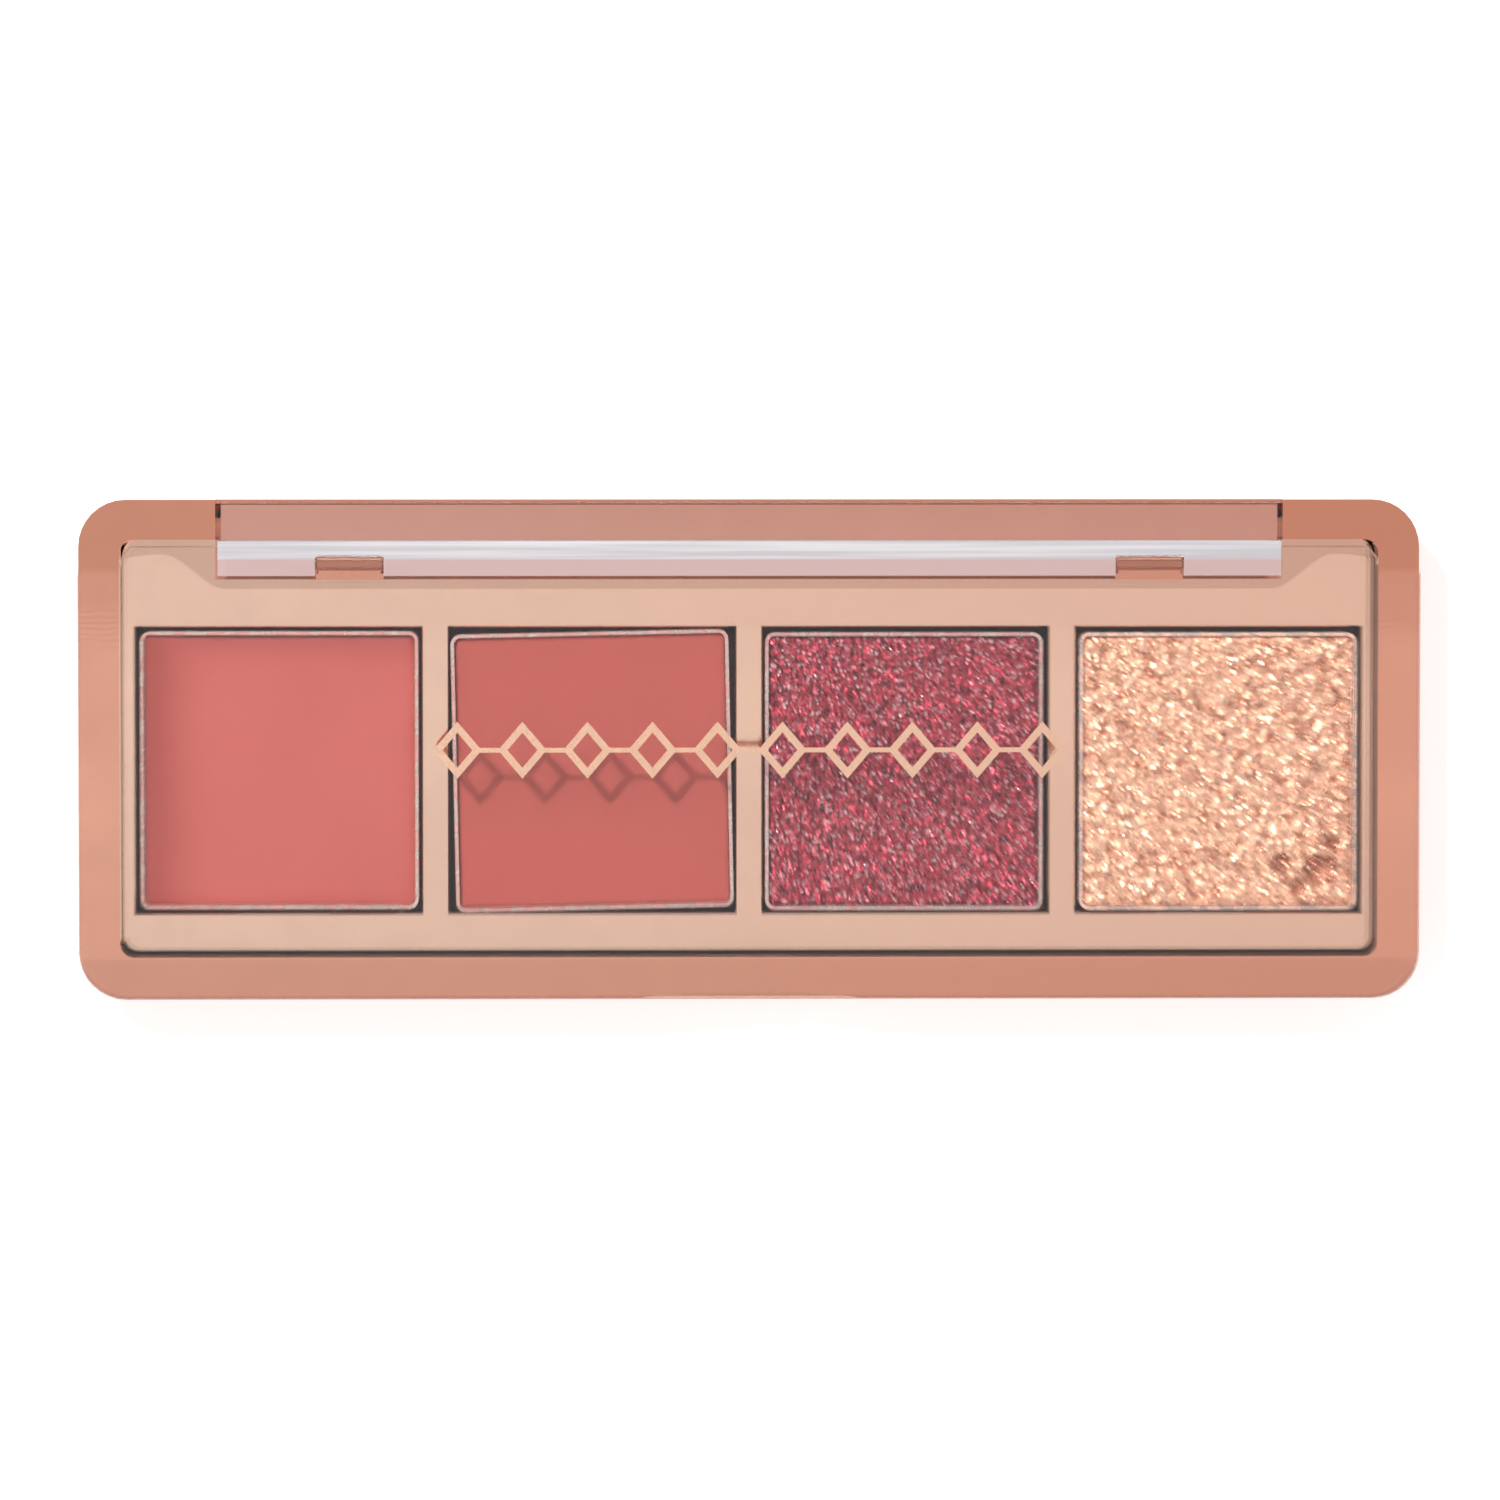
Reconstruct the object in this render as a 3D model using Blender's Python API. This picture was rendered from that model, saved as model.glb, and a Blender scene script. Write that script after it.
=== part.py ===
"""Four-shade eyeshadow palette: rose-gold base, champagne tray, metal pans and a clear hinged lid.

X runs along the length, the front is at -Y, the hinge is at +Y and the base stands on Z = 0.
"""

import math

import bmesh
import bpy
from mathutils import Matrix

MM = 0.001

# Outside of the closed palette
LENGTH = 94.0
WIDTH = 35.0
CORNER_R = 3.3
BASE_EDGE_R = 0.6
DECK_Z = 8.2
LID_UNDER_Z = 8.3
LID_TOP_Z = 9.5

# Opening inside the rim
OPEN_X = 44.15
OPEN_FRONT_Y = -14.62
OPEN_BACK_Y = 14.7
OPEN_R = 1.0
FLOOR_Z = 1.2

# Hinge
AXIS_Y = 13.0
AXIS_Z = 8.5
TAB_X = 37.25
TAB_BACK_Y = 17.3
TAB_SHOULDER_X = 44.05
TAB_SHOULDER_Y = 14.25
TAB_SHOULDER_CUT_X = 43.3
TAB_SHOULDER_CUT_Y = 13.4
WELL_X = 37.4
WELL_FRONT_Y = 12.0
WELL_SLOT_Y = 13.35
WELL_BACK_Y = 14.8
WELL_LEDGE_Z = 2.5
WELL_WALL = 1.1
WELL_WALL_Z = 4.2
SWING_R = 4.48
BACK_WALL_Z = 7.0
TAB_BARREL_R = 0.7
TAB_BARREL_INSET = 0.05
WELL_SLOT_INSET = 0.3
KNUCKLE_X = 28.0
KNUCKLE_W = 4.75
KNUCKLE_R = 0.6
KNUCKLE_NOTCH_W = 5.15
KNUCKLE_NOTCH_R = 0.72
NOTCH_FRONT_GAP = 0.15
NOTCH_UNDER = 1.5
NOTCH_OVER = 0.55
POST_BACK = 0.66
POST_T = 0.44
POST_FOOT = 0.2
ARM_INSET = 0.2
ARM_FRONT_INSET = 0.1
ARM_HALF_T = 0.4
EYE_INSET = 0.1
PIN_R = 0.3
PIN_HOLE_R = 0.35
PIN_LENGTH = 7.9
PIN_HOLE_LENGTH = 8.2

# Tray insert
PLATE_X = 44.1
PLATE_FRONT_Y = -14.32
PLATE_BACK_Y = 14.64
PLATE_WELL_Y = 11.85
PLATE_WELL_X = 37.55
PLATE_R = 1.1
PLATE_UNDER_Z = 4.3
PLATE_TOP_Z = 5.1
TRAY_UNDER_Z = 1.25
WELL_FLOOR_Z = 2.0
HOLE_SIDE = 20.2
HOLE_PITCH = 22.1
HOLE_Y = -1.64
HOLE_CHAMFER = 0.08
TRAY_WALL = 0.7
APRON_STEP = 0.02
APRON_SLOPE = math.tan(math.radians(1.5))
APRON_NEAR_Y = 11.15
APRON_RISE = 2.45
APRON_DROP = 0.35
APRON_BEND_X = 36.9
APRON_CREST_X = 41.3
APRON_STEPS = 17
APRON_PITCH = 0.45

# Pans, powder and glue
PAN_SIDE = 19.6
PAN_R = 0.7
PAN_WALL = 0.25
PAN_FLOOR = 0.3
PAN_UNDER_Z = 2.15
PAN_TOP_Z = 4.8
POWDER_GAP = 0.05
GLUE_R = 4.5
GLUE_GAP = 0.03

# Lid trim and base trim
FILM_T = 0.05
FILM_GAP = 0.05
FILM_X = 37.0
FILM_FRONT_Y = 14.65
FILM_BACK_Y = 17.15
NUB_X = 3.0
NUB_BACK_Y = -14.1
NUB_UNDER_Z = 7.5
ORNAMENT_COUNT = 10
ORNAMENT_PITCH = 4.55
ORNAMENT_W = 3.4
ORNAMENT_H = 4.0
ORNAMENT_STROKE = 0.5
ORNAMENT_RULE = 0.34
ORNAMENT_T = 0.06
ORNAMENT_GAP = 0.02
LABEL_X = 30.0
LABEL_Y = 9.0
LABEL_R = 1.5
LABEL_T = 0.12
LABEL_UNDER_Z = 0.08
RECESS_Z = 0.26
RECESS_GAP = 0.2
SCOOP_DEPTH = 0.5
SCOOP_R = 60.0
SCOOP_UNDER_Z = 7.1
SCOOP_STEPS = 256
LID_EDGE_R = 0.12
NUB_GAP = 0.1
NUB_ROOT = 0.3

ARC_STEPS = 8
ROUND_STEPS = 32
REACH = 60.0
OVERLAP = 0.5
TINY = 0.01

# Name of the powder, its top, its colour, roughness, and its pan's shift and turn in the well
SHADES = [
    ("powder_cream", 4.62, (0.69, 0.18, 0.16), 0.35, (0.05, 0.0), 0.0),
    ("powder_matte", 4.40, (0.58, 0.14, 0.13), 0.90, (0.0, -0.05), 1.2),
    ("powder_shimmer", 4.55, (0.38, 0.06, 0.09), 0.45, (-0.1, -0.1), 0.0),
    ("powder_glitter", 4.60, (0.83, 0.50, 0.30), 0.35, (0.0, -0.12), 0.0),
]

ROSE_GOLD = (0.61, 0.25, 0.16)
CHAMPAGNE = (0.75, 0.50, 0.38)
STEEL = (0.60, 0.58, 0.56)
FOIL = (0.95, 0.62, 0.46)


def clear_scene():
    for old in list(bpy.data.objects):
        bpy.data.objects.remove(old, do_unlink=True)


def material(name, colour, roughness, metallic, alpha=1.0):
    made = bpy.data.materials.new(name)
    made.use_nodes = True
    shader = made.node_tree.nodes["Principled BSDF"]
    shader.inputs["Base Color"].default_value = (*colour, 1.0)
    shader.inputs["Roughness"].default_value = roughness
    shader.inputs["Metallic"].default_value = metallic
    shader.inputs["Alpha"].default_value = alpha
    return made


def new_object(name, mesh_builder, is_cutter=False):
    """Fill a bmesh in millimetres with mesh_builder and link it as an object in metres."""
    shape = bmesh.new()
    mesh_builder(shape)
    bmesh.ops.scale(shape, vec=(MM, MM, MM), verts=shape.verts)
    bmesh.ops.recalc_face_normals(shape, faces=shape.faces)
    mesh = bpy.data.meshes.new(name)
    shape.to_mesh(mesh)
    shape.free()
    made = bpy.data.objects.new(name, mesh)
    bpy.context.scene.collection.objects.link(made)
    if is_cutter:
        made.hide_render = True
        made.display_type = "WIRE"
    return made


def rounded_outline(x0, y0, x1, y1, radius):
    """Corners of a rectangle with rounded corners, anticlockwise."""
    centres = [
        (x1 - radius, y1 - radius, 0.0),
        (x0 + radius, y1 - radius, 90.0),
        (x0 + radius, y0 + radius, 180.0),
        (x1 - radius, y0 + radius, 270.0),
    ]
    points = []
    for centre_x, centre_y, start in centres:
        for step in range(ARC_STEPS + 1):
            angle = math.radians(start + 90.0 * step / ARC_STEPS)
            points.append((centre_x + radius * math.cos(angle), centre_y + radius * math.sin(angle)))
    return points


def add_prism(shape, outline, z0, z1):
    """Add a closed prism."""
    low = [shape.verts.new((x, y, z0)) for x, y in outline]
    high = [shape.verts.new((x, y, z1)) for x, y in outline]
    shape.faces.new(list(reversed(low)))
    shape.faces.new(high)
    for index, low_vert in enumerate(low):
        after = (index + 1) % len(low)
        shape.faces.new((low_vert, low[after], high[after], high[index]))


def prism(name, outline, z0, z1, is_cutter=False):
    return new_object(name, lambda shape: add_prism(shape, outline, z0, z1), is_cutter)


def box_outline(x0, y0, x1, y1):
    return [(x0, y0), (x1, y0), (x1, y1), (x0, y1)]


def box(name, low, high, is_cutter=True):
    outline = box_outline(low[0], low[1], high[0], high[1])
    return prism(name, outline, low[2], high[2], is_cutter)


def axle(name, x0, x1, radius, is_cutter=True):
    """A cylinder along X on the hinge axis, between x0 and x1."""
    lying = Matrix.Translation(((x0 + x1) / 2, AXIS_Y, AXIS_Z)) @ Matrix.Rotation(math.pi / 2, 4, "Y")

    def build(shape):
        bmesh.ops.create_cone(shape, cap_ends=True, segments=ROUND_STEPS, radius1=radius,
                              radius2=radius, depth=x1 - x0, matrix=lying)

    return new_object(name, build, is_cutter)


def combine(target, operand, operation):
    modifier = target.modifiers.new(operand.name, "BOOLEAN")
    modifier.operation = operation
    modifier.solver = "EXACT"
    modifier.object = operand


def cut(target, *cutters):
    for cutter in cutters:
        combine(target, cutter, "DIFFERENCE")


def add(target, *operands):
    for operand in operands:
        combine(target, operand, "UNION")


def bevel(target, width, segments, angle=60.0):
    modifier = target.modifiers.new("edge", "BEVEL")
    modifier.width = width * MM
    modifier.segments = segments
    modifier.limit_method = "ANGLE"
    modifier.angle_limit = math.radians(angle)


def finish(target, slot_material, smooth_angle=35.0):
    target.data.materials.append(slot_material)
    target.data.shade_smooth()
    target.data.set_sharp_from_angle(angle=math.radians(smooth_angle))


def knuckle_parts(side):
    """Post, arm and eye of one base knuckle, which the hinge pin passes through."""
    x0 = side * KNUCKLE_X - KNUCKLE_W / 2
    x1 = side * KNUCKLE_X + KNUCKLE_W / 2
    back = AXIS_Y - POST_BACK
    front = back - POST_T
    post = box(f"post_{side}", (x0, front, WELL_LEDGE_Z - POST_FOOT), (x1, back, AXIS_Z))
    arm = box(f"arm_{side}", (x0 + ARM_INSET, front + ARM_FRONT_INSET, AXIS_Z - ARM_HALF_T),
              (x1 - ARM_INSET, AXIS_Y, AXIS_Z + ARM_HALF_T))
    eye = axle(f"eye_{side}", x0 + EYE_INSET, x1 - EYE_INSET, KNUCKLE_R)
    return post, arm, eye


def base_shell(rose_gold):
    """Tub with a flat rim, open at the middle of its back, and a well that the lid's tab swings into."""
    half_x = LENGTH / 2
    half_y = WIDTH / 2
    shell = prism("base_shell", rounded_outline(-half_x, -half_y, half_x, half_y, CORNER_R), 0.0, LID_TOP_Z)
    bevel(shell, BASE_EDGE_R, 3)
    cavity = rounded_outline(-OPEN_X, OPEN_FRONT_Y, OPEN_X, OPEN_BACK_Y, OPEN_R)
    cut(
        shell,
        box("lid_space", (-REACH, -REACH, DECK_Z), (REACH, REACH, REACH)),
        prism("cavity", cavity, FLOOR_Z, REACH, is_cutter=True),
    )
    wall_x = WELL_X + WELL_WALL
    wall_front = WELL_FRONT_Y - WELL_WALL
    slot_x = WELL_X - WELL_SLOT_INSET
    add(shell, box("well_walls", (-wall_x, wall_front, FLOOR_Z - OVERLAP), (wall_x, OPEN_BACK_Y + OVERLAP, WELL_WALL_Z)))
    cut(
        shell,
        axle("swing_space", -WELL_X, WELL_X, SWING_R),
        box("well", (-WELL_X, WELL_FRONT_Y, WELL_LEDGE_Z), (WELL_X, WELL_BACK_Y, AXIS_Z)),
        box("well_slot", (-slot_x, WELL_SLOT_Y, -OVERLAP), (slot_x, WELL_BACK_Y - WELL_SLOT_INSET, AXIS_Z)),
        box("tab_space", (-WELL_X, AXIS_Y, BACK_WALL_Z), (WELL_X, REACH, REACH)),
    )
    for side in (-1, 1):
        add(shell, *knuckle_parts(side))
        middle = side * KNUCKLE_X
        cut(shell, axle(f"eye_hole_{side}", middle - KNUCKLE_W, middle + KNUCKLE_W, PIN_HOLE_R))
    recess = rounded_outline(-LABEL_X - RECESS_GAP, -LABEL_Y - RECESS_GAP, LABEL_X + RECESS_GAP,
                             LABEL_Y + RECESS_GAP, LABEL_R)
    cut(shell, prism("label_recess", recess, -OVERLAP, RECESS_Z, is_cutter=True), thumb_scoop())
    finish(shell, rose_gold)
    return shell


def thumb_scoop():
    """Large vertical drum that takes a shallow bite from the front, under the lid's edge."""
    centre_y = -WIDTH / 2 + SCOOP_DEPTH - SCOOP_R
    standing = Matrix.Translation((0.0, centre_y, SCOOP_UNDER_Z + LID_TOP_Z / 2))

    def build(shape):
        bmesh.ops.create_cone(shape, cap_ends=True, segments=SCOOP_STEPS, radius1=SCOOP_R,
                              radius2=SCOOP_R, depth=LID_TOP_Z, matrix=standing)

    return new_object("thumb_scoop", build, is_cutter=True)


def hole_centres():
    return [((index - 1.5) * HOLE_PITCH, HOLE_Y) for index in range(len(SHADES))]


def apron_edge(x):
    """Front edge of the shallow apron by the hinge: straight at the bar, curving back at its ends."""
    blend = min(max((abs(x) - APRON_BEND_X) / (APRON_CREST_X - APRON_BEND_X), 0.0), 1.0)
    fall = max(abs(x) - APRON_CREST_X, 0.0) / (OPEN_X - APRON_CREST_X)
    return APRON_NEAR_Y + APRON_RISE * blend * blend * (3.0 - 2.0 * blend) - APRON_DROP * fall * fall


def apron_cutter():
    """Thin wedge that lets the plate fall away towards the hinge."""
    far = PLATE_BACK_Y + OVERLAP
    high = PLATE_TOP_Z + OVERLAP
    bend = [APRON_BEND_X + APRON_PITCH * step for step in range(APRON_STEPS)]
    columns = [-x for x in reversed(bend)] + bend

    def build(shape):
        rows = []
        for x in columns:
            near = apron_edge(x)
            low = PLATE_TOP_Z - APRON_STEP
            deep = low - APRON_SLOPE * (far - near)
            corners = [(x, near, low), (x, far, deep), (x, far, high), (x, near, high)]
            rows.append([shape.verts.new(corner) for corner in corners])
        for row, after in zip(rows, rows[1:]):
            for index in range(len(row)):
                following = (index + 1) % len(row)
                shape.faces.new((row[index], row[following], after[following], after[index]))
        shape.faces.new(rows[0])
        shape.faces.new(list(reversed(rows[-1])))

    return new_object("apron_wedge", build, is_cutter=True)


def tray_insert(champagne):
    """Metallised plate with four square wells hanging under it."""
    outline = rounded_outline(-PLATE_X, PLATE_FRONT_Y, PLATE_X, PLATE_BACK_Y, PLATE_R)
    tray = prism("tray_insert", outline, PLATE_UNDER_Z, PLATE_TOP_Z)
    reach = 1.5 * HOLE_PITCH + HOLE_SIDE / 2 + TRAY_WALL
    depth = HOLE_SIDE / 2 + TRAY_WALL
    block = box("well_block", (-reach, HOLE_Y - depth, TRAY_UNDER_Z),
                (reach, HOLE_Y + depth, (PLATE_UNDER_Z + PLATE_TOP_Z) / 2))
    add(tray, block)
    notch = box("tray_notch", (-PLATE_WELL_X, PLATE_WELL_Y, 0.0), (PLATE_WELL_X, REACH, REACH))
    cut(tray, notch)
    for index, centre in enumerate(hole_centres()):
        cut(tray, new_object(f"well_{index}", lambda shape: add_well(shape, centre), is_cutter=True))
    cut(tray, apron_cutter())
    finish(tray, champagne)
    return tray


def square(centre, half):
    return box_outline(centre[0] - half, centre[1] - half, centre[0] + half, centre[1] + half)


def add_well(shape, centre):
    """Square shaft with a small flare at its mouth."""
    half = HOLE_SIDE / 2
    levels = [
        (half, WELL_FLOOR_Z),
        (half, PLATE_TOP_Z - HOLE_CHAMFER),
        (half + 2 * HOLE_CHAMFER, PLATE_TOP_Z + HOLE_CHAMFER),
    ]
    rings = [[shape.verts.new((x, y, z)) for x, y in square(centre, side)] for side, z in levels]
    for ring, above in zip(rings, rings[1:]):
        for index, vert in enumerate(ring):
            after = (index + 1) % len(ring)
            shape.faces.new((vert, ring[after], above[after], above[index]))
    shape.faces.new(list(reversed(rings[0])))
    shape.faces.new(rings[-1])


def pan(index, centre, turn, metal):
    """Pressed metal pan, open at the top."""
    half = PAN_SIDE / 2
    inner = half - PAN_WALL
    made = prism(f"pan_{index}", rounded_outline(-half, -half, half, half, PAN_R), PAN_UNDER_Z, PAN_TOP_Z)
    hollow = prism(f"pan_hollow_{index}", rounded_outline(-inner, -inner, inner, inner, PAN_R - PAN_WALL),
                   PAN_UNDER_Z + PAN_FLOOR, REACH, is_cutter=True)
    place(made, centre, turn)
    place(hollow, centre, turn)
    cut(made, hollow)
    finish(made, metal)


def powder(name, top, centre, turn, colour, roughness):
    half = PAN_SIDE / 2 - PAN_WALL - POWDER_GAP
    outline = rounded_outline(-half, -half, half, half, PAN_R - PAN_WALL)
    made = prism(name, outline, PAN_UNDER_Z + PAN_FLOOR + POWDER_GAP, top)
    place(made, centre, turn)
    finish(made, material(name, colour, roughness, 0.0))


def pan_glue(index, centre, glue):
    """Round dot of glue between a well's floor and its pan."""
    low = WELL_FLOOR_Z + GLUE_GAP
    high = PAN_UNDER_Z - GLUE_GAP

    def build(shape):
        bmesh.ops.create_cone(shape, cap_ends=True, segments=ROUND_STEPS, radius1=GLUE_R, radius2=GLUE_R,
                              depth=high - low, matrix=Matrix.Translation((0.0, 0.0, (low + high) / 2)))

    made = new_object(f"pan_glue_{index}", build)
    place(made, centre, 0.0)
    finish(made, glue)


def place(target, centre, turn):
    target.location = (centre[0] * MM, centre[1] * MM, 0.0)
    target.rotation_euler = (0.0, 0.0, math.radians(turn))


def shades(pan_metal, glue):
    for index, (name, top, colour, roughness, shift, turn) in enumerate(SHADES, start=1):
        hole_x, hole_y = hole_centres()[index - 1]
        centre = (hole_x + shift[0], hole_y + shift[1])
        pan(index, centre, turn, pan_metal)
        powder(name, top, centre, turn, colour, roughness)
        pan_glue(index, centre, glue)


def lid_outline():
    """The lid covers the rim up to the axis; its shoulders and tab reach further back."""
    half_x = LENGTH / 2
    front = -WIDTH / 2
    points = rounded_outline(-half_x, front, half_x, WIDTH / 2, CORNER_R)[2 * (ARC_STEPS + 1):]
    right = [(half_x, AXIS_Y), (TAB_SHOULDER_X, AXIS_Y), (TAB_SHOULDER_X, TAB_SHOULDER_CUT_Y),
             (TAB_SHOULDER_CUT_X, TAB_SHOULDER_Y), (TAB_X, TAB_SHOULDER_Y), (TAB_X, TAB_BACK_Y)]
    left = [(-x, y) for x, y in reversed(right)]
    return points + right + left


def lid_window(clear, lid_hinge):
    """One clear moulding: cover plate, hinge barrel, tab and front nub."""
    lid = prism("lid_window", lid_outline(), LID_UNDER_Z, LID_TOP_Z)
    bevel(lid, LID_EDGE_R, 2)
    barrel_x = TAB_X - TAB_BARREL_INSET
    add(
        lid,
        axle("tab_barrel", -barrel_x, barrel_x, TAB_BARREL_R),
        box("nub", (-NUB_X, OPEN_FRONT_Y + NUB_GAP, NUB_UNDER_Z), (NUB_X, NUB_BACK_Y, LID_UNDER_Z + NUB_ROOT)),
    )
    for side in (-1, 1):
        middle = side * KNUCKLE_X
        x0 = middle - KNUCKLE_NOTCH_W / 2
        x1 = middle + KNUCKLE_NOTCH_W / 2
        front = AXIS_Y - POST_BACK - POST_T - NOTCH_FRONT_GAP
        cut(
            lid,
            axle(f"notch_{side}", x0, x1, KNUCKLE_NOTCH_R),
            box(f"notch_front_{side}", (x0 + TINY, front, AXIS_Z - NOTCH_UNDER),
                (x1 - TINY, AXIS_Y, AXIS_Z + NOTCH_OVER)),
            axle(f"pin_hole_{side}", middle - PIN_HOLE_LENGTH / 2, middle + PIN_HOLE_LENGTH / 2, PIN_HOLE_R),
        )
    finish(lid, clear)
    ride_on(lid, lid_hinge)


def ride_on(target, parent):
    target.parent = parent
    target.matrix_parent_inverse = parent.matrix_basis.inverted()


def tab_band(rose_gold, lid_hinge):
    """Rose-gold film on the underside of the tab, which hides the well behind the barrel."""
    high = LID_UNDER_Z - FILM_GAP
    band = box("tab_band", (-FILM_X, FILM_FRONT_Y, high - FILM_T), (FILM_X, FILM_BACK_Y, high), is_cutter=False)
    finish(band, rose_gold)
    ride_on(band, lid_hinge)


def lozenge(middle, half_w, half_h):
    return [(middle - half_w, 0.0), (middle, -half_h), (middle + half_w, 0.0), (middle, half_h)]


def lid_ornament(foil, lid_hinge):
    """Chain of open lozenges joined by a fine rule, in foil on the lid's top."""
    low = LID_TOP_Z + ORNAMENT_GAP
    high = low + ORNAMENT_T
    middles = [(index - (ORNAMENT_COUNT - 1) / 2) * ORNAMENT_PITCH for index in range(ORNAMENT_COUNT)]
    half_w = ORNAMENT_W / 2
    half_h = ORNAMENT_H / 2
    shrink = ORNAMENT_STROKE / math.sin(math.atan2(half_h, half_w))
    inner_w = half_w - shrink
    inner_h = inner_w * half_h / half_w
    rule_x = middles[-1]

    def outer(shape):
        for middle in middles:
            add_prism(shape, lozenge(middle, half_w, half_h), low, high)

    def inner(shape):
        for middle in middles:
            add_prism(shape, lozenge(middle, inner_w, inner_h), low - OVERLAP, high + OVERLAP)

    rule_low = (-rule_x, -ORNAMENT_RULE / 2, low + TINY)
    rule_high = (rule_x, ORNAMENT_RULE / 2, high - TINY)
    chain = box("lid_ornament", rule_low, rule_high, is_cutter=False)
    add(chain, new_object("lozenges", outer, is_cutter=True))
    cut(chain, new_object("lozenge_holes", inner, is_cutter=True))
    finish(chain, foil)
    ride_on(chain, lid_hinge)


def hinge_pin(name, side, steel):
    middle = side * KNUCKLE_X
    made = axle(name, middle - PIN_LENGTH / 2, middle + PIN_LENGTH / 2, PIN_R, is_cutter=False)
    finish(made, steel)


def base_label(paper):
    outline = rounded_outline(-LABEL_X, -LABEL_Y, LABEL_X, LABEL_Y, LABEL_R)
    made = prism("base_label", outline, LABEL_UNDER_Z, LABEL_UNDER_Z + LABEL_T)
    finish(made, paper)


def hinge_empty():
    made = bpy.data.objects.new("lid_hinge", None)
    made.location = (0.0, AXIS_Y * MM, AXIS_Z * MM)
    bpy.context.scene.collection.objects.link(made)
    return made


def main():
    clear_scene()
    lid_hinge = hinge_empty()
    base_shell(material("rose_gold", ROSE_GOLD, 0.18, 1.0))
    tray_insert(material("champagne", CHAMPAGNE, 0.15, 1.0))
    shades(material("pan_metal", STEEL, 0.25, 1.0), material("glue", (0.8, 0.75, 0.6), 0.5, 0.0))
    steel = material("pin_steel", STEEL, 0.2, 1.0)
    hinge_pin("hinge_pin_left", -1, steel)
    hinge_pin("hinge_pin_right", 1, steel)
    base_label(material("label", (0.86, 0.80, 0.76), 0.6, 0.0))
    lid_window(material("clear_plastic", (0.95, 0.95, 0.96), 0.05, 0.0, alpha=0.3), lid_hinge)
    tab_band(material("tab_film", ROSE_GOLD, 0.25, 1.0), lid_hinge)
    lid_ornament(material("foil", FOIL, 0.25, 1.0), lid_hinge)


main()
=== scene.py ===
"""Looks of the eyeshadow palette: metallised case, clear lid, pressed powders, pale floor and soft light."""

import math
import random

import bmesh
import bpy
from mathutils import Matrix, Vector, noise


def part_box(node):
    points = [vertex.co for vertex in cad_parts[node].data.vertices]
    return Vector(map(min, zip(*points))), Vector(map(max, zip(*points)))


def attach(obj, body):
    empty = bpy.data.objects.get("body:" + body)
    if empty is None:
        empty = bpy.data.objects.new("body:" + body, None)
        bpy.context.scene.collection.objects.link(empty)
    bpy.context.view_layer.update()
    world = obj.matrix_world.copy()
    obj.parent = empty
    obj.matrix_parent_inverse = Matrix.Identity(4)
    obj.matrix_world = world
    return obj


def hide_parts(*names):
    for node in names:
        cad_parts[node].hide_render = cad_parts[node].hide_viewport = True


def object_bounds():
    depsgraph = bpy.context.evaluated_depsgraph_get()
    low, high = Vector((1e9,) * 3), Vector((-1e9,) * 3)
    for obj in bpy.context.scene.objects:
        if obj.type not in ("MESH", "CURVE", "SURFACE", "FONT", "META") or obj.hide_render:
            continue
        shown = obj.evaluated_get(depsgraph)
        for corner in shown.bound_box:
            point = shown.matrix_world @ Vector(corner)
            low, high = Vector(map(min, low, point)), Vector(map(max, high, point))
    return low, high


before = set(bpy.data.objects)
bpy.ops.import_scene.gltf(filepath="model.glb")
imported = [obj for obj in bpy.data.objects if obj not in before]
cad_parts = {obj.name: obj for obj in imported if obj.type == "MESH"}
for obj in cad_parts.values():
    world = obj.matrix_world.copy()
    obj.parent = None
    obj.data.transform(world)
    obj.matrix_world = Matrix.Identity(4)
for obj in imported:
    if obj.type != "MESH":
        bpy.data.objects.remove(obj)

CAD_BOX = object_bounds()
MM = 0.001

# Camera: high above the palette, a little behind it, as a product shot from above
CAMERA_PLACE = (-10.2 * MM, 28.0 * MM, 560.0 * MM)
FRAME_WIDTH = 105.0 * MM
SENSOR = 36.0

# Key light: a small lamp in the direction of KEY_SHIFT
KEY_SHIFT = (-1.645, 2.128, 5.15)
KEY_DISTANCE = 0.9
KEY_SIZE = 0.045
KEY_POWER = 4.2

# The floor is a lit opal sheet, so that shadows on it wash out
FLOOR_GLOW = 0.55

# The ceiling card ends on this slope behind the zenith, and the studio is dimmer behind it
CARD_EDGE = -0.0354
SKY_RANGE = (-0.25, 0.15)
SKY_STOPS = [(-0.25, 0.56), (-0.13, 0.70), (-0.099, 0.74), (-0.089, 0.94), (-0.06, 1.04),
             (CARD_EDGE - 0.0006, 1.02), (CARD_EDGE + 0.0006, 0.74), (0.08, 0.74), (0.15, 0.56)]
DIM_TINT = (1.0, 0.92, 0.91)
DIM_BELOW = 0.8

# Colours, in linear light
ROSE_GOLD = (0.79, 0.37, 0.25)
CHAMPAGNE = (0.86, 0.575, 0.435)
FILM = (0.76, 0.40, 0.31)
PAN_METAL = (0.80, 0.62, 0.55)
COPPER = (0.62, 0.30, 0.22)
FOIL = (0.96, 0.63, 0.45)
# Painted shade: the dark colour laid on deep walls and in wells where the metal is in shade
PAINTED_SHADE_DARK = (0.060, 0.018, 0.011)
LABEL_TONES = ((0.80, 0.72, 0.67), (0.90, 0.84, 0.80))
GLUE_TONES = ((0.80, 0.74, 0.58), (0.90, 0.86, 0.74))
FLOOR_TONES = ((0.92, 0.92, 0.925), (0.94, 0.94, 0.94))
CLEAR = (0.985, 0.985, 0.99)
CLEAR_SHADOW = (0.95, 0.94, 0.94)
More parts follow.
